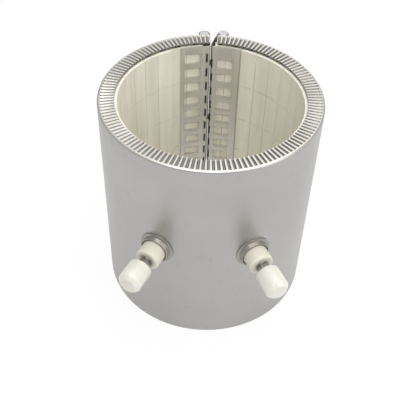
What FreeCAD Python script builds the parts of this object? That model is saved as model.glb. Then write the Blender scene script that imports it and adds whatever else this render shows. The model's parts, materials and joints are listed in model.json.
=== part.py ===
# Ceramic band heater: a one-piece clamp-on ring that heats a machine barrel.
# Millimetres. The barrel axis is Z, the ring stands on z = 0, and its clamping gap faces +Y.
# Plan angles (phi) run from the gap, clockwise seen from above, so that x = r sin(phi), y = r cos(phi).
import FreeCAD, Part
import math
import os

V = FreeCAD.Vector
ORIGIN = V(0, 0, 0)
UP = V(0, 0, 1)

# ---------------------------------------------------------------- driving dimensions
bore_radius = 80.0
band_height = 205.0
sheet = 0.6                      # stainless sheet of the shell and the end straps
tile_depth = 8.5                 # radial thickness of a ceramic tile
lining_depth = 6.8               # radial thickness of the fibre lining
layer_gap = 0.3                  # free space between tiles, lining and shell
seat_gap = 0.1                   # free space between curved faces that bear on each other

gap_half_width = 4.0             # from the middle of the clamping gap to the shell's edge
fold_radius = 2.0                # outside radius where the shell turns in to its flanges
flange_inner_radius = 82.0
pleat_pitch = 4.3                # measured round the outside of the band
groove_share = 0.66              # part of a pleat's pitch that is groove, at the flange's inner edge
groove_floor_share = 0.3         # part of a groove's width that is its flat floor
groove_narrowing = 0.9           # plan angle of a groove at its outer end, next to that at the inner edge
groove_stop = 0.35               # flat left between a groove and the fold
groove_depth_inner = 1.3
groove_depth_outer = 0.9
groove_end_slope = 1.0           # radial length of a groove's blunt end
groove_end_shift = 0.2           # the underside's blunt end lies this much further out

tile_rows = 5
tile_columns = 32                # full columns, next to one narrow closing column
closing_column_width = 10.2
tile_joint = 0.3                 # between neighbouring tiles
tile_end_clearance = 3.4         # from the ring's end planes to the tile stack
tile_end_left = -6.7             # degrees: where the tile ring ends left of the gap
tile_end_right = 1.2             # degrees: where it starts right of the gap
strap_recess = 0.9               # from a strap to the tiles behind it
channel_width = 5.6              # coil channel in a tile's back
channel_depth = 4.6
coil_radius = 2.2
coil_turn_height = 4.0           # coil showing above a column where it turns to the next

strap_margin = 3.0               # from the ring's end planes to the straps
strap_bend_radius = 2.4          # inside radius where a strap turns out through the gap
strap_reach = 25.0               # arc length of a strap along the bore, to its bend
strap_tail = 28.0                # arc length of a strap along the outside of the shell
left_strap_face = -2.5           # x of the left strap where it turns, mirrored for the right one
right_strap_face = 2.1
tail_bend_radius = 2.0
window_width = 15.2
window_height = 9.8
window_pitch = 16.1
window_end_margin = 4.0          # least strap left below the last window
left_window_inset = 3.6          # from a strap's free edge to its windows
left_first_window = 8.0          # from the strap's top edge down to its first window
left_slot_width = 1.9
left_slot_shift = 0.0            # from the bend's centre towards the gap
right_window_inset = 6.6
right_first_window = 14.0
right_slot_width = 1.2
right_slot_shift = 1.5

pin_radius = 5.1
pin_offset = 9.0                 # from the middle of the gap to a clamp pin's axis
pin_chamfer = 0.9
pin_fit = 0.1
pin_shell_gap = 0.3
right_pin_rise = 1.7             # how far the right pin stands out of its loop
screw_count = 3
screw_end_distance = 32.0        # from a strap's end to the nearest screw
screw_radius = 2.5               # M5 by 25 socket screw
screw_length = 25.0
screw_head_radius = 4.25
screw_head_height = 5.0
screw_socket_width = 4.0
screw_socket_depth = 2.6
screw_seat = 3.0                 # from the right pin's axis to its spot face
screw_tip = 0.6                  # chamfer at the screw's end
thread_fit = 0.06
screw_clearance = 0.3

terminal_angle = 25.4            # from the front of the band, to either side
terminal_height = 107.0
stud_radius = 3.0                # M6 terminal stud
stud_engagement = 14.4           # length of the stud inside its cap
stud_head_radius = 7.0
stud_head_height = 2.0
stud_clearance = 0.2
inner_bush_radius = 9.5
inner_bush_height = 3.7
spigot_radius = 5.0
spigot_clearance = 0.3
seat_radius = 15.6
seat_thickness = 0.8
seat_collar_radius = 12.8
seat_collar_wall = 0.8
seat_floor_rise = 1.8            # from the shell to the floor that the outer bush stands on
seat_collar_height = 2.9
outer_bush_radius = 10.8
outer_bush_height = 15.7
outer_bush_round = 2.6
washer_radius = 6.25
washer_thickness = 1.2
nut_width = 10.0
nut_height = 5.0
cap_radius = 10.3
cap_height = 21.8
cap_taper_height = 3.6
cap_face_radius = 7.2
cap_back_round = 0.9
cap_hole_spare = 1.6             # free space in the cap beyond the stud's end

# ---------------------------------------------------------------- sizes that follow
tile_back = bore_radius + tile_depth
lining_inner = tile_back + layer_gap
lining_outer = lining_inner + lining_depth
shell_inner = lining_outer + layer_gap
shell_radius = shell_inner + sheet
flange_flat_radius = shell_radius - fold_radius
groove_outer = flange_flat_radius - groove_stop
gap_angle = math.degrees(math.asin(gap_half_width / shell_radius))
pleat_count = round(math.radians(360 - 2 * gap_angle) * shell_radius / pleat_pitch)
pleat_angle = (360 - 2 * gap_angle) / pleat_count
tile_height = (band_height - 2 * tile_end_clearance - (tile_rows - 1) * tile_joint) / tile_rows
strap_height = band_height - 2 * strap_margin
pin_distance = shell_radius + pin_shell_gap + pin_radius
pin_y = math.sqrt(pin_distance ** 2 - pin_offset ** 2)
screw_spacing = (strap_height - 2 * screw_end_distance) / (screw_count - 1)
screw_heights = [strap_margin + screw_end_distance + k * screw_spacing for k in range(screw_count)]


# ---------------------------------------------------------------- helpers
def polar(radius, phi, z=0.0):
    """A point at a plan angle measured from the gap."""
    angle = math.radians(phi)
    return V(radius * math.sin(angle), radius * math.cos(angle), z)


def flat_face(points):
    """A flat polygon face."""
    return Part.Face(Part.makePolygon(list(points) + [points[0]]))


def arc_edge(radius, phi_start, phi_end, z=0.0, centre=ORIGIN):
    """A plan arc between two plan angles."""
    middle = (phi_start + phi_end) / 2
    ends = [polar(radius, phi, z) + centre for phi in (phi_start, middle, phi_end)]
    return Part.Arc(*ends).toShape()


def sector(inner, outer, phi_start, phi_end, z, height):
    """A ring sector, extruded upwards."""
    edges = [
        arc_edge(inner, phi_start, phi_end, z),
        Part.makeLine(polar(inner, phi_end, z), polar(outer, phi_end, z)),
        arc_edge(outer, phi_end, phi_start, z),
        Part.makeLine(polar(outer, phi_start, z), polar(inner, phi_start, z)),
    ]
    return Part.Face(Part.Wire(edges)).extrude(V(0, 0, height))


def tube(outer, inner, start, end, direction=UP):
    """A washer or tube between two distances along an axis through the origin."""
    body = Part.makeCylinder(outer, end - start, direction * start, direction)
    return body.cut(Part.makeCylinder(inner, end - start, direction * start, direction))


def box_between(x, y, z):
    """A box from three (low, high) pairs."""
    return Part.makeBox(x[1] - x[0], y[1] - y[0], z[1] - z[0], V(x[0], y[0], z[0]))


def hexagon(width, height, base, direction):
    """A hexagonal prism, its width measured across flats."""
    corner = width / math.sqrt(3)
    points = [polar(corner, 60 * k) for k in range(6)]
    prism = flat_face(points).extrude(V(0, 0, height))
    prism.Placement = FreeCAD.Placement(base, FreeCAD.Rotation(UP, direction))
    return prism


def mirrored_in_gap(shape):
    """The same shape on the other side of the gap."""
    return shape.mirror(ORIGIN, V(1, 0, 0))


def save(name, shape):
    """Writes one node, and reports what it is made of."""
    if not shape.isValid() or not shape.Solids:
        raise ValueError(name + " is not a valid solid")
    shape.exportStep("parts/" + name + ".step")
    print(name, len(shape.Solids), "solids,", len(shape.Faces), "faces,", round(shape.Volume), "mm3")


# ---------------------------------------------------------------- outer shell with pleated flanges
def section_points():
    """Corner points of the sheet's section at the top: outer wall, fold, flange and back again."""
    inner_fold = fold_radius - sheet
    diagonal = math.sqrt(0.5)
    fold_centre = (flange_flat_radius, band_height - fold_radius)
    outer_middle = [c + fold_radius * diagonal for c in fold_centre]
    inner_middle = [c + inner_fold * diagonal for c in fold_centre]
    return {
        "wall": (shell_radius, fold_centre[1]),
        "fold": outer_middle,
        "flange": (flange_flat_radius, band_height),
        "inner_wall": (shell_inner, fold_centre[1]),
        "inner_fold": inner_middle,
        "inner_flange": (flange_flat_radius, band_height - sheet),
    }


def in_plane(point, phi):
    """A section point, given as (radius, z), placed at a plan angle."""
    return polar(point[0], phi, point[1])


def mirrored_height(shape):
    """The same shape at the other end of the band."""
    return shape.mirror(V(0, 0, band_height / 2), UP)


def turned(edge):
    """An edge swept round the band from one side of the gap to the other."""
    return edge.revolve(ORIGIN, V(0, 0, -1), 360 - 2 * gap_angle)


def groove_side(middle, side, level, shift):
    """The four corners of one groove wall on one face of the sheet; side is -1 or 1."""
    half = side * groove_share * pleat_angle / 2
    floor = half * groove_floor_share
    end = groove_outer + shift
    floor_end = end - groove_end_slope
    return {
        "lip": polar(flange_inner_radius, middle + half, level),
        "lip_end": polar(end, middle + half * groove_narrowing, level),
        "floor": polar(flange_inner_radius, middle + floor, level - groove_depth_inner),
        "floor_end": polar(floor_end, middle + floor * groove_narrowing, level - groove_depth_outer),
    }


def groove_corners(cell):
    """Every corner of one groove: both walls, on the upper face and on the underside."""
    middle = gap_angle + (cell + 0.5) * pleat_angle
    corners = {}
    for face, level, shift in (("top", band_height, 0), ("under", band_height - sheet, groove_end_shift)):
        for hand, side in (("near", -1), ("far", 1)):
            for name, point in groove_side(middle, side, level, shift).items():
                corners[face + " " + hand + " " + name] = point
    return corners


def groove_faces(c):
    """One groove's walls, floor and blunt end on both faces of the sheet, and its edge at the bore."""
    outlines = []
    for face in ("top ", "under "):
        for hand in ("near ", "far "):
            wall = face + hand
            outlines.append([wall + "lip", wall + "floor", wall + "floor_end"])
            outlines.append([wall + "lip", wall + "floor_end", wall + "lip_end"])
        for inner, outer in (("floor", "floor_end"), ("floor_end", "lip_end")):
            ends = [("near ", inner), ("near ", outer), ("far ", outer), ("far ", inner)]
            outlines.append([face + hand + end for hand, end in ends])
    for hand in ("near ", "far "):
        outlines.append(["top " + hand + "lip", "under " + hand + "lip", "under " + hand + "floor", "top " + hand + "floor"])
    outlines.append(["top near floor", "under near floor", "under far floor", "top far floor"])
    return [flat_face([c[name] for name in names]) for names in outlines]


def flange_faces():
    """A whole pleated flange: two flat faces with notched inner edges, and every groove."""
    start, end = gap_angle, 360 - gap_angle
    cells = [groove_corners(cell) for cell in range(pleat_count)]
    faces = []
    upper = [polar(flange_flat_radius, start, band_height), polar(flange_inner_radius, start, band_height)]
    lower = [p - V(0, 0, sheet) for p in upper]
    rim = [(upper[1], lower[1])]
    for c in cells:
        for face, outline in (("top ", upper), ("under ", lower)):
            outline += [c[face + name] for name in ("near lip", "near lip_end", "far lip_end", "far lip")]
        rim += [(c["top " + name], c["under " + name]) for name in ("near lip", "far lip")]
        faces += groove_faces(c)
    last = [polar(flange_inner_radius, end, band_height), polar(flange_flat_radius, end, band_height)]
    upper += last
    lower += [p - V(0, 0, sheet) for p in last]
    rim.append((last[0], last[0] - V(0, 0, sheet)))
    for z, outline in ((band_height, upper), (band_height - sheet, lower)):
        edge = arc_edge(flange_flat_radius, end, start, z)
        faces.append(Part.Face(Part.Wire(Part.makePolygon(outline).Edges + [edge])))
    for (a, a_under), (b, b_under) in zip(rim[0::2], rim[1::2]):
        faces.append(flat_face([a, b, b_under, a_under]))
    return faces


def outer_shell():
    """One folded sheet: wall, folds and pleated flanges, drilled for the two terminals."""
    p = section_points()
    phi = gap_angle
    at = {name: in_plane(point, phi) for name, point in p.items()}
    outer_fold = Part.Arc(at["wall"], at["fold"], at["flange"]).toShape()
    inner_fold = Part.Arc(at["inner_wall"], at["inner_fold"], at["inner_flange"]).toShape()
    end_faces = [turned(outer_fold), turned(inner_fold)] + flange_faces()
    faces = end_faces + [mirrored_height(face) for face in end_faces]
    for point in (at["wall"], at["inner_wall"]):
        foot = V(point.x, point.y, band_height - point.z)
        faces.append(turned(Part.makeLine(foot, point)))
    for phi in (gap_angle, 360 - gap_angle):
        faces.append(sheet_end(p, phi))
    shell = Part.makeShell(faces)
    shell.sewShape()
    body = Part.Solid(shell)
    if body.Volume < 0:
        body.reverse()
    for side in (-1, 1):
        body = body.cut(terminal_hole(spigot_radius + spigot_clearance, side))
    return body


def sheet_end(p, phi):
    """The cut end of the sheet, from the bore edge of one flange to that of the other."""
    lip = polar(flange_inner_radius, phi, band_height)
    under_lip = polar(flange_inner_radius, phi, band_height - sheet)
    at = {name: in_plane(point, phi) for name, point in p.items()}
    top = [
        Part.makeLine(at["flange"], lip),
        Part.makeLine(lip, under_lip),
        Part.makeLine(under_lip, at["inner_flange"]),
        Part.Arc(at["wall"], at["fold"], at["flange"]).toShape(),
        Part.Arc(at["inner_wall"], at["inner_fold"], at["inner_flange"]).toShape(),
    ]
    edges = top + [mirrored_height(edge) for edge in top]
    for point in (at["wall"], at["inner_wall"]):
        edges.append(Part.makeLine(V(point.x, point.y, band_height - point.z), point))
    return Part.Face(Part.Wire(Part.sortEdges(edges)[0]))


# ---------------------------------------------------------------- ceramic tiles, coil and lining
def tile_edges():
    """Plan angles of the joints between tile columns, from right of the gap round to its left."""
    closing = math.degrees(closing_column_width / bore_radius)
    full = (360 + tile_end_left - tile_end_right - closing) / tile_columns
    return [tile_end_right] + [tile_end_right + closing + full * k for k in range(tile_columns + 1)]


def tile_face_radius(phi_start, phi_end):
    """Tiles lie back behind the straps, which finish flush with the bore."""
    covered = phi_start < strap_edge(right_strap_face) or phi_end > 360 - strap_edge(left_strap_face)
    return bore_radius + (sheet + strap_recess if covered else 0)


def tile(phi_start, phi_end, z):
    """A ceramic tile: concave face, radial joints, and a coil channel in its flat back."""
    middle = (phi_start + phi_end) / 2
    half = math.radians(phi_end - phi_start) / 2
    face_radius = tile_face_radius(phi_start, phi_end)
    inset = math.degrees(tile_joint / 2 / bore_radius)
    low, high = phi_start - middle + inset, phi_end - middle - inset
    back = tile_back * math.cos(half)
    back_half = back * math.tan(math.radians(high))
    channel = channel_width / 2
    outline = [
        V(back_half, back, z),
        V(channel, back, z),
        V(channel, back - channel_depth, z),
        V(-channel, back - channel_depth, z),
        V(-channel, back, z),
        V(-back_half, back, z),
    ]
    edges = Part.makePolygon([polar(face_radius, high, z)] + outline + [polar(face_radius, low, z)]).Edges
    edges.append(arc_edge(face_radius, low, high, z))
    body = Part.Face(Part.Wire(edges)).extrude(V(0, 0, tile_height))
    body.rotate(ORIGIN, UP, -middle)
    return body


def tile_row(row):
    """One course of tiles right round the band."""
    z = tile_end_clearance + row * (tile_height + tile_joint)
    edges = tile_edges()
    return Part.makeCompound([tile(a, b, z) for a, b in zip(edges[:-1], edges[1:])])


def coil_run(phi, half_angle):
    """The coil's length in one column, lying in the bottom of the channel."""
    distance = tile_back * math.cos(half_angle) - channel_depth + layer_gap + coil_radius
    height = band_height - 2 * tile_end_clearance
    points = [polar(coil_radius, 60 * k + 30) for k in range(6)]
    rod = flat_face(points).extrude(V(0, 0, height))
    rod.translate(V(0, distance, tile_end_clearance))
    rod.rotate(ORIGIN, UP, -phi)
    return rod


def heating_coil():
    """The wound wire as its envelope: a length in each column, in series."""
    edges = tile_edges()
    columns = list(zip(edges[:-1], edges[1:]))
    runs = [coil_run((a + b) / 2, math.radians(b - a) / 2) for a, b in columns]
    return Part.makeCompound(runs)


def insulation_lining():
    """The fibre mat between tiles and shell, with a pocket for each terminal's inner bush."""
    height = band_height - 2 * tile_end_clearance
    start, end = tile_end_right + 1.6, 360 + tile_end_left
    mat = sector(lining_inner, lining_outer, start, end, tile_end_clearance, height)
    for side in (-1, 1):
        mat = mat.cut(terminal_hole(inner_bush_radius + layer_gap, side))
    return mat


# ---------------------------------------------------------------- end straps and clamp
def heading(vector):
    """Direction of a plan vector, in degrees from +X."""
    return math.degrees(math.atan2(vector.y, vector.x))


def point_on(centre, radius, angle, z=0.0):
    """A point on a circle, by its angle from +X."""
    return V(centre.x + radius * math.cos(math.radians(angle)),
             centre.y + radius * math.sin(math.radians(angle)), z)


def folded_strip(arcs, thickness, z, height):
    """A sheet bent along tangent arcs (centre, radius, start angle, end angle), straight between them."""
    sides = []
    for side in (-thickness / 2, thickness / 2):
        edges = []
        last = None
        for centre, radius, start, end in arcs:
            turn = 1 if end > start else -1
            r = radius + side * turn
            points = [point_on(centre, r, a, z) for a in (start, (start + end) / 2, end)]
            if last and last.distanceToPoint(points[0]) > 1e-6:
                edges.append(Part.makeLine(last, points[0]))
            edges.append(Part.Arc(*points).toShape())
            last = points[2]
        sides.append((edges, edges[0].Curve.value(edges[0].FirstParameter), last))
    first = point_on(arcs[0][0], arcs[0][1] - thickness / 2, arcs[0][2], z)
    first_other = point_on(arcs[0][0], arcs[0][1] + thickness / 2, arcs[0][2], z)
    caps = [Part.makeLine(first, first_other), Part.makeLine(sides[0][2], sides[1][2])]
    wire = Part.Wire(Part.sortEdges(sides[0][0] + sides[1][0] + caps)[0])
    return Part.Face(wire).extrude(V(0, 0, height))


def strap_arcs(face_x):
    """The left strap's path: along the bore, out through the gap, round its pin and back on the shell."""
    half = sheet / 2
    bore_line = bore_radius + half
    bend = strap_bend_radius + half
    loop = pin_radius + pin_fit + half
    tail_line = shell_radius + seat_gap + half
    tail_bend = tail_bend_radius + half
    bend_x = face_x - half - bend
    bend_centre = V(bend_x, math.sqrt((bore_line + bend) ** 2 - bend_x ** 2), 0)
    pin_centre = V(-pin_offset, pin_y, 0)
    span = pin_centre - bend_centre
    leg_normal = heading(span) - math.degrees(math.acos((bend - loop) / span.Length))
    # the bend back on to the shell touches the loop and the tail from outside
    reach, rest = loop + tail_bend, tail_line + tail_bend
    along = (rest ** 2 - reach ** 2 + pin_centre.Length ** 2) / (2 * pin_centre.Length)
    across = math.sqrt(rest ** 2 - along ** 2)
    outward = pin_centre.normalize()
    tail_centre = outward * along + V(-outward.y, outward.x, 0) * across
    pin_centre = V(-pin_offset, pin_y, 0)
    loop_end = heading(tail_centre - pin_centre) % 360
    bend_start = heading(bend_centre * -1)
    start = heading(bend_centre) + math.degrees(strap_reach / bore_line)
    tail_start = heading(tail_centre)
    return [
        (ORIGIN, bore_line, start, heading(bend_centre)),
        (bend_centre, bend, bend_start, leg_normal),
        (pin_centre, loop, leg_normal, loop_end),
        (tail_centre, tail_bend, loop_end + 180, tail_start + 180),
        (ORIGIN, tail_line, tail_start, tail_start + math.degrees(strap_tail / tail_line)),
    ]


def strap_edge(face_x):
    """Plan angle from the middle of the gap to the free edge of a strap."""
    return strap_arcs(face_x)[0][2] - heading(V(0, 1, 0))


def end_strap(face_x, window_inset, first_window, slot_width, slot_shift, head_side):
    """A strap on the left of the gap, with its windows, bend slots and screw openings."""
    arcs = strap_arcs(face_x)
    strap = folded_strip(arcs, sheet, strap_margin, strap_height)
    width = math.degrees(window_width / bore_radius)
    outer_edge = math.degrees(window_inset / bore_radius) - strap_edge(face_x)
    slot_x = arcs[1][0].x + slot_shift
    top = strap_margin + strap_height - first_window
    room = strap_height - first_window - window_height - window_end_margin
    cuts = []
    for k in range(int(room / window_pitch) + 1):
        z = top - k * window_pitch - window_height
        cuts.append(sector(bore_radius - 1, bore_radius + 1.5, outer_edge, outer_edge + width, z, window_height))
        slot_y = (bore_radius - 2, bore_radius + strap_bend_radius)
        cuts.append(box_between((slot_x - slot_width / 2, slot_x + slot_width / 2), slot_y, (z, z + window_height)))
    shank = screw_radius + 2 * screw_clearance
    head = screw_head_radius + 2 * screw_clearance
    for z in screw_heights:
        base = V(-pin_offset, pin_y, z)
        cuts.append(Part.makeCylinder(shank, 3 * pin_radius, base, V(1, 0, 0)))
        if head_side:
            cuts.append(Part.makeCylinder(head, 3 * pin_radius, base, V(-1, 0, 0)))
    return strap.cut(Part.makeCompound(cuts))


def clamp_pin(rise):
    """A round bar that fills the left strap's loop, chamfered at both ends."""
    base = V(-pin_offset, pin_y, strap_margin + rise)
    pin = Part.makeCylinder(pin_radius, strap_height, base)
    rims = [e for e in pin.Edges if isinstance(e.Curve, Part.Circle)]
    return pin.makeChamfer(pin_chamfer, rims)


def left_clamp_pin():
    """The tapped pin that the screws pull on."""
    pin = clamp_pin(0)
    for z in screw_heights:
        start = V(-pin_offset - pin_radius - 1, pin_y, z)
        pin = pin.cut(Part.makeCylinder(screw_radius + thread_fit, 2 * pin_radius + 2, start, V(1, 0, 0)))
    return pin


def right_clamp_pin():
    """The pin that the screw heads bear on, spot faced for them."""
    pin = mirrored_in_gap(clamp_pin(right_pin_rise))
    for z in screw_heights:
        start = V(pin_offset - pin_radius - 1, pin_y, z)
        seat = V(pin_offset + screw_seat, pin_y, z)
        pin = pin.cut(Part.makeCylinder(screw_radius + screw_clearance, 2 * pin_radius + 2, start, V(1, 0, 0)))
        pin = pin.cut(Part.makeCylinder(screw_head_radius + screw_clearance, pin_radius, seat, V(1, 0, 0)))
    return pin


def clamp_screw(z):
    """A socket screw across the gap, its head on the right pin."""
    along = V(-1, 0, 0)
    seat = V(pin_offset + screw_seat, pin_y, z)
    top = seat - along * screw_head_height
    head = Part.makeCylinder(screw_head_radius, screw_head_height, top, along)
    rim = [e for e in head.Edges if isinstance(e.Curve, Part.Circle) and abs(e.Curve.Center.x - top.x) < 1e-6]
    head = head.makeChamfer(0.4, rim)
    head = head.cut(hexagon(screw_socket_width, screw_socket_depth, top, along))
    shank = Part.makeCylinder(screw_radius, screw_length - screw_tip, seat, along)
    tip = Part.makeCone(screw_radius, screw_radius - screw_tip, screw_tip,
                        seat + along * (screw_length - screw_tip), along)
    return head.fuse([shank, tip])


# ---------------------------------------------------------------- terminals
def terminal_direction(side):
    """Outward along a terminal's axis; side is -1 for the left one and 1 for the right one."""
    return polar(1.0, 180 - side * terminal_angle)


def on_terminal(shape, side):
    """Moves a shape modelled about Z, with z the distance from the barrel axis, on to a terminal."""
    turn = FreeCAD.Rotation(UP, terminal_direction(side))
    shape.Placement = FreeCAD.Placement(V(0, 0, terminal_height), turn)
    return shape


def terminal_hole(radius, side):
    """A radial drill at a terminal, through the shell's wall."""
    return on_terminal(Part.makeCylinder(radius, 2 * shell_radius, V(0, 0, tile_back)), side)


def revolved(points):
    """A turned piece, from its half section given as (radius, distance) pairs."""
    return flat_face([V(r, 0, z) for r, z in points]).revolve(ORIGIN, UP, 360)


def rims_at(shape, radius, z):
    """The circular edges of a turned piece at one radius and distance."""
    return [e for e in shape.Edges if isinstance(e.Curve, Part.Circle)
            and abs(e.Curve.Radius - radius) < 1e-6 and abs(e.Curve.Center.z - z) < 1e-6]


inner_bush_top = shell_inner - 0.8
inner_bush_base = inner_bush_top - inner_bush_height
seat_floor = shell_radius + seat_floor_rise
bush_end = seat_floor + outer_bush_height
nut_base = bush_end + washer_thickness
nut_end = nut_base + nut_height
cap_base = nut_end + 2 * washer_thickness
stud_end = cap_base + stud_engagement
cap_hole_end = stud_end + cap_hole_spare


def terminal_stud():
    """The stud, its head inside the band."""
    head_base = inner_bush_base - stud_head_height
    tip = 0.6
    return revolved([
        (0, head_base), (stud_head_radius, head_base), (stud_head_radius, inner_bush_base),
        (stud_radius, inner_bush_base), (stud_radius, stud_end - tip),
        (stud_radius - tip, stud_end), (0, stud_end),
    ])


def inner_bush():
    """The ceramic bush inside the shell; its spigot lines the hole."""
    hole = stud_radius + stud_clearance
    return revolved([
        (hole, inner_bush_base), (inner_bush_radius, inner_bush_base),
        (inner_bush_radius, inner_bush_top), (spigot_radius, inner_bush_top),
        (spigot_radius, seat_floor), (hole, seat_floor),
    ])


def terminal_seat(side):
    """The metal seat: a saddle flange on the shell, and a collar round the foot of the outer bush."""
    seat_low, seat_high = shell_radius + seat_gap, shell_radius + seat_gap + seat_thickness
    full = Part.makeCylinder(seat_radius, seat_high, ORIGIN)
    saddle = on_terminal(full, side)
    around = Part.makeCylinder(seat_high, band_height)
    saddle = saddle.common(around)
    collar = Part.makeCylinder(seat_collar_radius, seat_floor + seat_collar_height)
    pocket_radius = seat_collar_radius - seat_collar_wall
    pocket = Part.makeCylinder(pocket_radius, shell_radius, V(0, 0, seat_floor))
    body = saddle.fuse(on_terminal(collar.cut(pocket), side))
    body = body.cut(Part.makeCylinder(seat_low, band_height))
    return body.cut(terminal_hole(spigot_radius + spigot_clearance, side))


def outer_bush():
    """The ceramic bush outside, with a well rounded front edge."""
    hole = stud_radius + stud_clearance
    body = revolved([
        (hole, seat_floor), (outer_bush_radius, seat_floor),
        (outer_bush_radius, bush_end), (hole, bush_end),
    ])
    return body.makeFillet(outer_bush_round, rims_at(body, outer_bush_radius, bush_end))


def hex_nut():
    """The nut that holds the stud, chamfered on its outer face."""
    nut = hexagon(nut_width, nut_height, V(0, 0, nut_base), UP)
    rise = 0.6
    corner = nut_width / math.sqrt(3)
    cone = revolved([
        (0, nut_base), (corner + 0.1, nut_base), (corner + 0.1, nut_end - rise),
        (nut_width / 2 - 0.1, nut_end), (0, nut_end),
    ])
    hole = Part.makeCylinder(stud_radius + thread_fit, nut_height, V(0, 0, nut_base))
    return nut.common(cone).cut(hole)


def cap_washers():
    """Two loose washers that take a lead's eyelet between nut and cap."""
    hole = stud_radius + stud_clearance
    discs = []
    for k in range(2):
        start = nut_end + k * washer_thickness
        discs.append(tube(washer_radius, hole, start, start + washer_thickness))
    return Part.makeCompound(discs)


def ceramic_cap():
    """The glazed cap nut, threaded blind, with a tapered end."""
    hole = stud_radius + thread_fit
    end = cap_base + cap_height
    body = revolved([
        (hole, cap_base), (cap_radius, cap_base), (cap_radius, end - cap_taper_height),
        (cap_face_radius, end), (0, end), (0, cap_hole_end),
        (hole, cap_hole_end),
    ])
    body = body.makeFillet(cap_back_round, rims_at(body, cap_radius, cap_base))
    body = body.makeFillet(2 * cap_back_round, rims_at(body, cap_radius, end - cap_taper_height))
    return body.makeFillet(cap_back_round, rims_at(body, cap_face_radius, end))


# ---------------------------------------------------------------- all nodes
os.makedirs("parts", exist_ok=True)
save("outer_shell", outer_shell())
save("insulation_lining", insulation_lining())
save("heating_coil", heating_coil())
for row in range(tile_rows):
    save("tile_row_" + str(row + 1), tile_row(row))
save("left_end_strap", end_strap(
    left_strap_face, left_window_inset, left_first_window, left_slot_width, left_slot_shift, False))
save("right_end_strap", mirrored_in_gap(end_strap(
    right_strap_face, right_window_inset, right_first_window, right_slot_width, right_slot_shift, True)))
save("left_clamp_pin", left_clamp_pin())
save("right_clamp_pin", right_clamp_pin())
for number, height in enumerate(screw_heights, 1):
    save("clamp_screw_" + str(number), clamp_screw(height))
for name, side in (("left", -1), ("right", 1)):
    save(name + "_terminal_seat", terminal_seat(side))
    save(name + "_terminal_stud", on_terminal(terminal_stud(), side))
    save(name + "_inner_bush", on_terminal(inner_bush(), side))
    save(name + "_outer_bush", on_terminal(outer_bush(), side))
    save(name + "_plain_washer", on_terminal(
        tube(washer_radius, stud_radius + stud_clearance, bush_end, nut_base), side))
    save(name + "_hex_nut", on_terminal(hex_nut(), side))
    save(name + "_cap_washers", on_terminal(cap_washers(), side))
    save(name + "_ceramic_cap", on_terminal(ceramic_cap(), side))
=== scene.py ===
# %% [markdown]
# A ceramic band heater, dressed for the studio. The measured model is loaded first and stays as it is:
# everything below adds finishes, rounded copies of some pieces, a floor, light and a camera round it.
# Lengths are metres. The barrel axis is Z, the band stands on z = 0, and its clamping gap faces +Y.

# %% Load the measured model
import bpy
import json
import math
from mathutils import Matrix, Vector


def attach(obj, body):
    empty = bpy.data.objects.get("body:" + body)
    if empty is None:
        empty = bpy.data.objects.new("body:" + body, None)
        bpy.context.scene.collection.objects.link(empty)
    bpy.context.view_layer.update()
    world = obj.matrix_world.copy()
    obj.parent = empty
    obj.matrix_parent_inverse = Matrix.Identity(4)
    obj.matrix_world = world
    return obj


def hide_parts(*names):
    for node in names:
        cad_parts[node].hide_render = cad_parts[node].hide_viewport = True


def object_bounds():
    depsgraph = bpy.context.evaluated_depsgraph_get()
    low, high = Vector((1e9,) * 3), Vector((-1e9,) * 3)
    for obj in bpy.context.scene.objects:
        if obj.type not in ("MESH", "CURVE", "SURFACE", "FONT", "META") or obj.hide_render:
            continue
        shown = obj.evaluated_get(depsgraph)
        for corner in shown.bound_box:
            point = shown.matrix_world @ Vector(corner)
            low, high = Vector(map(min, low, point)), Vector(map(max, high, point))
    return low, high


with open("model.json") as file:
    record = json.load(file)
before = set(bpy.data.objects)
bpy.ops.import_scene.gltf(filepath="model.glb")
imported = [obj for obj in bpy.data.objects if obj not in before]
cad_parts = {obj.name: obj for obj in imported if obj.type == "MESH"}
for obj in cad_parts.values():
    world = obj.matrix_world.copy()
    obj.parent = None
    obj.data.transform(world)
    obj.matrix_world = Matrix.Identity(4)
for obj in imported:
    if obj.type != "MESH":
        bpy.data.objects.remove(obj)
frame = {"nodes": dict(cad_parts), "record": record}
model_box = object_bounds()
record = frame["record"]
for thing in bpy.context.selected_objects:
    thing.select_set(False)
print("pieces:", len(frame["nodes"]), "box:", [tuple(round(v, 4) for v in corner) for corner in model_box])


# %% [markdown]
# The camera looks down into the band from the front, from about arm's length. A long lens keeps the ring
# from looking stretched. It could be aimed with a Track To constraint, but three small turns after the
# main one, a pan, a tilt and a roll, say more plainly how the view is framed.

# %% Camera
band_height = model_box[1].z
look_height = band_height / 2
camera_distance = 0.6728
camera_elevation = math.radians(43.404)
camera_pan = math.radians(0.551)
camera_tilt = math.radians(-1.381)
camera_roll = math.radians(2.37)

camera_data = bpy.data.cameras.new("studio_camera")
camera_data.sensor_width = 36.0
camera_data.lens = 63.78
camera = bpy.data.objects.new("studio_camera", camera_data)
bpy.context.scene.collection.objects.link(camera)
away = Vector((0.0, -math.cos(camera_elevation), math.sin(camera_elevation)))
place = Vector((0.0, 0.0, look_height)) + away * camera_distance
turn = (
    Matrix.Rotation(math.radians(90) - camera_elevation, 4, "X")
    @ Matrix.Rotation(camera_pan, 4, "Y")
    @ Matrix.Rotation(camera_tilt, 4, "X")
    @ Matrix.Rotation(camera_roll, 4, "Z")
)
camera.matrix_world = Matrix.Translation(place) @ turn
bpy.context.scene.camera = camera
print("camera at", tuple(round(v, 3) for v in place), "lens", camera_data.lens)


# %% [markdown]
# Finishes are node trees. Wiring them by hand takes a screen of noodles, so a small wrapper lets a socket
# be used in ordinary sums: each sum adds its Math node. One method adds any other node.

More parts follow.
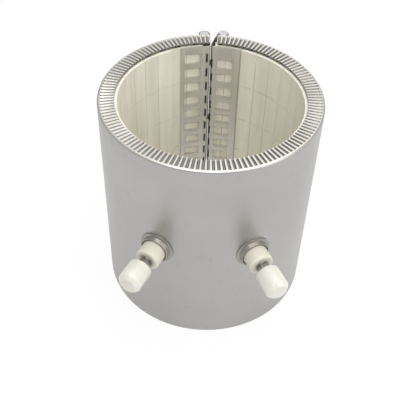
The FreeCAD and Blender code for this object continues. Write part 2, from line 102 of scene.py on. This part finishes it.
# %% A socket that can be used in sums
class Value:
    """A node's output, for use in expressions on numbers."""

    def __init__(self, finish, socket):
        self.finish = finish
        self.socket = socket

    def __add__(self, other):
        return self.finish.maths("ADD", self, other)

    def __radd__(self, other):
        return self.finish.maths("ADD", other, self)

    def __sub__(self, other):
        return self.finish.maths("SUBTRACT", self, other)

    def __rsub__(self, other):
        return self.finish.maths("SUBTRACT", other, self)

    def __mul__(self, other):
        return self.finish.maths("MULTIPLY", self, other)

    def __rmul__(self, other):
        return self.finish.maths("MULTIPLY", other, self)

    def __truediv__(self, other):
        return self.finish.maths("DIVIDE", self, other)


# %% A finish and its nodes
class Finish:
    """A material with a Principled surface, and short ways to add nodes to it."""

    def __init__(self, name, **surface):
        self.material = bpy.data.materials.new(name)
        self.material.use_nodes = True
        self.tree = self.material.node_tree
        self.surface = self.tree.nodes["Principled BSDF"]
        for socket, value in surface.items():
            self.surface.inputs[socket.replace("_", " ")].default_value = value

    def node(self, kind, settings=None, output=0, **inputs):
        """Adds a node: its settings first, then the values or links of its sockets."""
        made = self.tree.nodes.new("ShaderNode" + kind)
        for name, value in (settings or {}).items():
            setattr(made, name, value)
        for name, value in inputs.items():
            name = name.replace("_", " ")
            by_number = name[0] == "i" and name[1:].isdigit()
            self.feed(made.inputs[int(name[1:]) if by_number else name], value)
        return Value(self, made.outputs[output])

    def feed(self, socket, value):
        """Links a wrapped socket, or sets a plain value."""
        if isinstance(value, Value):
            self.tree.links.new(value.socket, socket)
        else:
            socket.default_value = value

    def maths(self, operation, *values):
        numbered = {"i" + str(k): value for k, value in enumerate(values)}
        return self.node("Math", {"operation": operation}, **numbered)

    def step(self, value, low, high):
        """0 below low, 1 above high, and a straight ramp between."""
        return self.node("MapRange", {"clamp": True}, Value=value, From_Min=low, From_Max=high)

    def mix(self, factor, first, second):
        """A colour between two colours."""
        return self.node("Mix", {"data_type": "RGBA"}, output=2, i0=factor, i6=first, i7=second)

    def place(self):
        """A point of the piece, in metres."""
        return self.node("TexCoord", output=3)

    def parts(self):
        """The x, y and z of a point of the piece, each of them a value."""
        split = self.node("SeparateXYZ", Vector=self.place()).socket.node.outputs
        return [Value(self, socket) for socket in split]

    def noise(self, scale, detail=3.0, roughness=0.5, stretch=(1.0, 1.0, 1.0)):
        """Cloudy noise from 0 to 1, finer in the directions that are stretched more."""
        scaled = self.node("VectorMath", {"operation": "MULTIPLY"}, i0=self.place(), i1=stretch)
        return self.node("TexNoise", Vector=scaled, Scale=scale, Detail=detail, Roughness=roughness)

    def bump(self, height, strength, distance):
        self.feed(self.surface.inputs["Normal"],
                  self.node("Bump", Height=height, Strength=strength, Distance=distance))

    def paint(self, **sockets):
        for name, value in sockets.items():
            self.feed(self.surface.inputs[name.replace("_", " ")], value)


def colour(red, green, blue):
    """A finish's colour, with the alpha that a colour socket wants."""
    return (red, green, blue, 1.0)


print("finish tools ready")


# %% [markdown]
# The flanges are pleated so that flat sheet can turn in round a circle. The grooves are darkened with
# painted shade, which stands in for the shade and dark reflections in them, together with some dirt. It
# could be painted by hand on a map, but the pleats are evenly spaced, so a point's angle round the barrel
# axis tells how far it is from the middle of its groove.

# %% Where the pleats are
pleat_count = 139
shell_radius = 0.0965
gap_half_width = 0.004
gap_half_angle = math.degrees(math.asin(gap_half_width / shell_radius))
pleat_angle = (360.0 - 2 * gap_half_angle) / pleat_count
groove_reach = 0.0943
whole_pleats = 200


def rim_grime(sheet):
    """Mask of the grooves' painted shade and dirt: 1 in the middle of each groove of either pleated rim, 0
    on the ridges and on the wall.
    """
    x, y, z = sheet.parts()
    angle = sheet.maths("ARCTAN2", x, y) * (180.0 / math.pi) + (whole_pleats * pleat_angle - gap_half_angle)
    across = sheet.maths("PINGPONG", angle / pleat_angle, 0.5)
    radius = sheet.maths("SQRT", x * x + y * y)
    rise = sheet.maths("ABSOLUTE", z - band_height / 2)
    on_rim = sheet.step(rise, band_height / 2 - 0.0035, band_height / 2 - 0.0030)
    inside = 1.0 - sheet.step(radius, groove_reach - 0.0004, groove_reach + 0.0003)
    return sheet.step(across, 0.12, 0.27) * on_rim * inside


print("pleats:", pleat_count, "of", round(pleat_angle, 3), "degrees")


# %% [markdown]
# The shell is thin stainless sheet with a satin rolled face. It could be plain metal, but real sheet carries
# faint rolling lines and handling marks, which break up its reflections. The lines run round the band, so
# the noise is squeezed along Z. The folded rim gets a lighter colour than the wall, a painted highlight for
# the light its ridges catch, and its grooves get painted shade and dirt.

# %% Stainless shell
def satin_sheet():
    sheet = Finish("satin_stainless_sheet", Metallic=1.0)
    groove_dirt_and_shade_mask = rim_grime(sheet)
    lines = sheet.noise(14.0, 4.0, 0.6, (1.0, 1.0, 26.0))
    clouds = sheet.noise(11.0, 3.0)
    marks = sheet.step(sheet.noise(160.0, 5.0, 0.62), 0.60, 0.78)
    rise = sheet.maths("ABSOLUTE", sheet.parts()[2] - band_height / 2)
    # The rim's lighter colour is a painted highlight for the light that its ridges catch.
    rim = sheet.step(rise, band_height / 2 - 0.0016, band_height / 2 - 0.0004)
    tone = sheet.mix(clouds, colour(0.385, 0.38, 0.37), colour(0.485, 0.48, 0.468))
    rim_painted_highlight = sheet.mix(rim, tone, colour(0.60, 0.585, 0.545))
    handled = sheet.mix(marks * 0.4, rim_painted_highlight, colour(0.34, 0.335, 0.33))
    # Painted shade, with some dirt, darkens the middle of each groove of the pleated rims.
    sheet.paint(
        Base_Color=sheet.mix(groove_dirt_and_shade_mask * 0.72, handled, colour(0.15, 0.138, 0.12)),
        Roughness=0.36 + lines * 0.10 + marks * 0.08,
    )
    sheet.bump(lines + clouds * 0.6, 0.12, 0.0004)
    return sheet.material


# %% [markdown]
# The end straps and seats are duller sheet. Where the two straps meet in the throat, their colour darkens
# close to the middle of the gap: painted shade for the dark crevice between them. The seats get a darker,
# browner colour: painted shade, with a painted reflection of the cream bushes.

# %% Strap and seat sheet
throat_middle = 0.0885


def strap_sheet():
    sheet = Finish("dull_strap_sheet", Metallic=0.75)
    clouds = sheet.noise(40.0, 4.0)
    x, y, _ = sheet.parts()
    sideways = sheet.maths("ABSOLUTE", x)
    outward = sheet.maths("ABSOLUTE", y - throat_middle)
    # Painted shade: darker close to the middle of the throat between the two straps.
    throat_painted_shade = (1.0 - sheet.step(sideways, 0.0018, 0.0036)) * (1.0 - sheet.step(outward, 0.0075, 0.0085))
    clean = sheet.mix(clouds, colour(0.56, 0.545, 0.50), colour(0.66, 0.645, 0.60))
    sheet.paint(
        Base_Color=sheet.mix(throat_painted_shade * 0.75, clean, colour(0.10, 0.095, 0.085)),
        Roughness=0.42 + clouds * 0.12,
    )
    sheet.bump(clouds, 0.15, 0.0004)
    return sheet.material


def seat_sheet():
    sheet = Finish("seat_sheet_painted_shade", Metallic=0.9)
    # The darker, browner colour is painted shade and a painted reflection of the cream bush.
    clouds = sheet.noise(120.0, 4.0)
    sheet.paint(
        Base_Color=sheet.mix(clouds, colour(0.30, 0.285, 0.25), colour(0.42, 0.405, 0.37)),
        Roughness=0.40 + clouds * 0.15,
    )
    sheet.bump(clouds, 0.12, 0.0003)
    return sheet.material


print("sheet finishes ready, throat at y =", throat_middle)


# %% [markdown]
# The fasteners are plated or turned steel. A cut thread's valleys lie in shade and its crests catch light.
# Here the thread is a finish and not a shape, with painted shade in its valleys, a painted highlight on its
# crests and a bump: its turns are counted along the axis by a zigzag of the distance.

# %% Steels and threads
stud_pitch = 0.001
screw_pitch = 0.0008
screw_thread_end = 0.010


def plated_steel():
    steel = Finish("zinc_plated_steel", Metallic=1.0)
    clouds = steel.noise(220.0, 4.0)
    steel.paint(
        Base_Color=steel.mix(clouds, colour(0.24, 0.23, 0.21), colour(0.44, 0.43, 0.39)),
        Roughness=0.24 + clouds * 0.16,
    )
    steel.bump(clouds, 0.1, 0.0002)
    return steel.material


def threaded_steel(name, pitch, along):
    """Plated steel with thread turns of painted shade and painted highlight, and a bump; along(finish) gives
    the distance along the piece's axis.
    """
    steel = Finish(name, Metallic=1.0)
    turns = steel.maths("PINGPONG", along(steel) / pitch, 0.5) * 2.0
    clouds = steel.noise(220.0, 4.0)
    # Painted shade in the thread's valleys and a painted highlight on its crests.
    steel.paint(
        Base_Color=steel.mix(turns, colour(0.13, 0.125, 0.115), colour(0.50, 0.49, 0.45)),
        Roughness=0.26 + clouds * 0.16,
    )
    steel.bump(turns, 0.8, 0.0005)
    return steel.material


def from_barrel_axis(steel):
    """Distance from the barrel axis, which the studs stand out from."""
    x, y, _ = steel.parts()
    return steel.maths("SQRT", x * x + y * y)


def across_gap(steel):
    """Sideways distance, held still from the screw's head on, which has no thread."""
    return steel.maths("MINIMUM", steel.parts()[0], screw_thread_end)


def turned_steel():
    steel = Finish("turned_bar_steel", Metallic=1.0)
    clouds = steel.noise(180.0, 4.0)
    steel.paint(
        Base_Color=steel.mix(clouds, colour(0.36, 0.36, 0.36), colour(0.60, 0.60, 0.60)),
        Roughness=0.22 + clouds * 0.2,
    )
    return steel.material


def oxidised_wire():
    wire = Finish("oxidised_coil_wire", Metallic=0.8)
    turns = wire.noise(60.0, 2.0, 0.5, (1.0, 1.0, 20.0))
    wire.paint(
        Base_Color=wire.mix(turns, colour(0.10, 0.09, 0.08), colour(0.30, 0.27, 0.24)),
        Roughness=0.45 + turns * 0.2,
    )
    return wire.material


print("steel finishes ready, thread pitches", stud_pitch, screw_pitch)


# %% [markdown]
# The tiles are matt steatite, pressed and fired, so they are cream, slightly mottled, and no two are quite
# the same shade.

# %% Ceramics and fibre
def tile_ceramic():
    ceramic = Finish("cream_tile_ceramic", Roughness=0.7)
    clouds = ceramic.noise(70.0, 3.0, 0.5, (1.0, 1.0, 0.10))
    grain = ceramic.noise(600.0, 3.0)
    specks = ceramic.step(ceramic.noise(420.0, 2.0), 0.70, 0.76)
    tone = ceramic.mix(ceramic.step(clouds, 0.35, 0.65), colour(0.70, 0.67, 0.57), colour(0.81, 0.785, 0.69))
    ceramic.paint(Base_Color=ceramic.mix(specks * 0.5, tone, colour(0.48, 0.44, 0.34)))
    ceramic.bump(grain, 0.2, 0.0002)
    return ceramic.material


def bush_ceramic():
    ceramic = Finish("cream_bush_ceramic", Roughness=0.6)
    clouds = ceramic.noise(160.0, 4.0)
    ceramic.paint(Base_Color=ceramic.mix(clouds, colour(0.60, 0.57, 0.47), colour(0.69, 0.66, 0.56)))
    ceramic.bump(ceramic.noise(900.0, 3.0), 0.15, 0.0002)
    return ceramic.material


def cap_ceramic():
    ceramic = Finish("white_glazed_ceramic", Roughness=0.3, Coat_Weight=0.6, Coat_Roughness=0.12)
    clouds = ceramic.noise(90.0, 3.0)
    ceramic.paint(Base_Color=ceramic.mix(clouds, colour(0.62, 0.61, 0.54), colour(0.70, 0.69, 0.62)))
    ceramic.bump(clouds, 0.1, 0.0004)
    return ceramic.material


def mineral_fibre():
    fibre = Finish("white_fibre_mat", Roughness=0.95)
    strands = fibre.noise(500.0, 5.0, 0.7, (1.0, 1.0, 5.0))
    fibre.paint(Base_Color=fibre.mix(strands, colour(0.60, 0.59, 0.55), colour(0.82, 0.81, 0.77)))
    fibre.bump(strands, 0.6, 0.0006)
    return fibre.material


print("ceramic and fibre finishes ready")


# %% [markdown]
# The model's own record says which finish each piece takes. Assigning by that list leaves none bare. The
# seats, studs and clamp screws then get their own variants.

# %% Dress every piece of the model
finishes = {
    "stainless_sheet": satin_sheet(),
    "strap_sheet": strap_sheet(),
    "tile_ceramic": tile_ceramic(),
    "bush_ceramic": bush_ceramic(),
    "cap_ceramic": cap_ceramic(),
    "fibre": mineral_fibre(),
    "coil_wire": oxidised_wire(),
    "fastener_steel": plated_steel(),
    "pin_steel": turned_steel(),
}
for part in record["subparts"]:
    piece = frame["nodes"][part["node"]]
    piece.data.materials.clear()
    piece.data.materials.append(finishes[part["material_slot"]])
seat_finish = seat_sheet()
stud_finish = threaded_steel("stud_painted_thread_steel", stud_pitch, from_barrel_axis)
screw_finish = threaded_steel("screw_painted_thread_steel", screw_pitch, across_gap)
for number in (1, 2, 3):
    frame["nodes"]["clamp_screw_" + str(number)].data.materials[0] = screw_finish
for side in ("left", "right"):
    frame["nodes"][side + "_terminal_seat"].data.materials[0] = seat_finish
    frame["nodes"][side + "_terminal_stud"].data.materials[0] = stud_finish
print("dressed", len(record["subparts"]), "pieces in", len(finishes), "finishes")


# %% [markdown]
# Every edge of a real pressed or turned piece is a little round, and catches a thin line of light. The
# measured solids have sharp edges. Each of the straps, pins and terminal pieces is copied, the copy's
# loose triangles are merged, and a small Bevel modifier rounds its creases; the copy then stands for the
# solid and moves with its body. The shell is left alone: its folds are round in the model already.

# %% Round the edges of the pieces that show
merge_distance = 0.000002
flat_angle = math.radians(0.5)
crease_angle = math.radians(30.0)
smooth_angle = math.radians(40.0)


def softened(node, width):
    """A copy of a measured piece with its creases rounded, standing for it."""
    bpy.ops.object.select_all(action="DESELECT")
    source = frame["nodes"][node]
    mesh = source.data.copy()
    piece = bpy.data.objects.new(node + "_finished", mesh)
    bpy.context.scene.collection.objects.link(piece)
    piece.select_set(True)
    bpy.context.view_layer.objects.active = piece
    bpy.ops.object.mode_set(mode="EDIT")
    bpy.ops.mesh.select_all(action="SELECT")
    bpy.ops.mesh.remove_doubles(threshold=merge_distance)
    bpy.ops.mesh.dissolve_limited(angle_limit=flat_angle)
    bpy.ops.object.mode_set(mode="OBJECT")
    rounding = piece.modifiers.new("rounding", "BEVEL")
    rounding.width = width
    rounding.segments = 2
    rounding.limit_method = "ANGLE"
    rounding.angle_limit = crease_angle
    rounding.use_clamp_overlap = True
    bpy.ops.object.modifier_apply(modifier="rounding")
    bpy.ops.object.shade_smooth_by_angle(angle=smooth_angle)
    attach(piece, body_of_node[node])
    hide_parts(node)
    return piece


# %% Which pieces, and how round
bodies = record["behaviour"]["bodies"]
body_of_node = {node: body for body, nodes in bodies.items() for node in nodes}
edge_widths = {"left_clamp_pin": 0.0004, "right_clamp_pin": 0.0004}
for side in ("left", "right"):
    for name, width in (("terminal_seat", 0.0003), ("outer_bush", 0.0004), ("plain_washer", 0.00025),
                        ("hex_nut", 0.0003), ("cap_washers", 0.00025), ("ceramic_cap", 0.0005),
                        ("end_strap", 0.00015)):
        edge_widths[side + "_" + name] = width
for node, width in edge_widths.items():
    made = softened(node, width)
    print(made.name, len(made.data.polygons), "faces")


# %% [markdown]
# The band stands on a plain white floor. It takes a soft shadow, and for the camera most of its
# brightness is its own, so that it stays white under gentle lamps. Metal sees part of that glow too.

# %% Floor
floor_size = 8.0
glow_to_camera = 0.93
glow_to_metal = 0.5
bpy.ops.mesh.primitive_plane_add(size=floor_size, location=(0.0, 0.0, 0.0))
floor = bpy.context.object
floor.name = "studio_floor"
ground = Finish("white_floor", Roughness=0.9)
rays = ground.node("LightPath")
seen = rays.socket.node.outputs
camera_ray = Value(ground, seen["Is Camera Ray"])
glossy_ray = Value(ground, seen["Is Glossy Ray"])
ground.paint(Base_Color=colour(0.85, 0.85, 0.85))
glow = ground.tree.nodes.new("ShaderNodeEmission")
glow.inputs["Strength"].default_value = 1.0
blend = ground.tree.nodes.new("ShaderNodeMixShader")
ground.feed(blend.inputs[0], camera_ray * glow_to_camera + glossy_ray * glow_to_metal)
ground.tree.links.new(ground.surface.outputs[0], blend.inputs[1])
ground.tree.links.new(glow.outputs[0], blend.inputs[2])
ground.tree.links.new(blend.outputs[0], ground.tree.nodes["Material Output"].inputs["Surface"])
floor.data.materials.append(ground.material)
print("floor", floor_size, "m wide")


# %% [markdown]
# The world lights the band evenly from all round, at a little over half strength, and only the camera sees
# it as full white. Turning it up for everything would wash out the ceramics.

# %% World
world_light = 0.55
world_seen = 1.0
world = bpy.data.worlds.new("studio_world")
bpy.context.scene.world = world
world.use_nodes = True
sky = world.node_tree
background = sky.nodes["Background"]
background.inputs["Color"].default_value = (1.0, 1.0, 1.0, 1.0)
path = sky.nodes.new("ShaderNodeLightPath")
level = sky.nodes.new("ShaderNodeMapRange")
level.inputs["To Min"].default_value = world_light
level.inputs["To Max"].default_value = world_seen
sky.links.new(path.outputs["Is Camera Ray"], level.inputs["Value"])
sky.links.new(level.outputs[0], background.inputs["Strength"])
print("world light", world_light)


# %% [markdown]
# Four soft boxes shape the light: overhead for the tiles' edges, in front to reach down the bore, behind
# for the rim's ridges, and at the right for the wall. Area lamps are used because their size softens
# shadows, where a sun or a point would draw hard ones.

# %% Lamps
def soft_lamp(name, power, size, place, target):
    """A square soft box, aimed at a point."""
    data = bpy.data.lights.new(name, "AREA")
    data.energy = power
    data.size = size
    lamp = bpy.data.objects.new(name, data)
    bpy.context.scene.collection.objects.link(lamp)
    aim = (Vector(target) - Vector(place)).to_track_quat("-Z", "Y")
    lamp.matrix_world = Matrix.Translation(place) @ aim.to_matrix().to_4x4()
    return lamp


soft_lamp("overhead_box", 12.0, 1.2, (0.2, 0.1, 1.5), (0.0, 0.0, 0.1))
soft_lamp("front_box", 6.0, 0.7, (-0.1, -0.55, 1.25), (0.0, 0.05, 0.12))
soft_lamp("back_box", 3.5, 1.1, (0.0, 1.2, 1.1), (0.0, 0.0, 0.2))
soft_lamp("right_box", 5.0, 0.8, (1.1, -0.7, 0.8), (0.0, 0.0, 0.1))
view = bpy.context.scene.view_settings
view.view_transform = "Standard"
print("studio set")
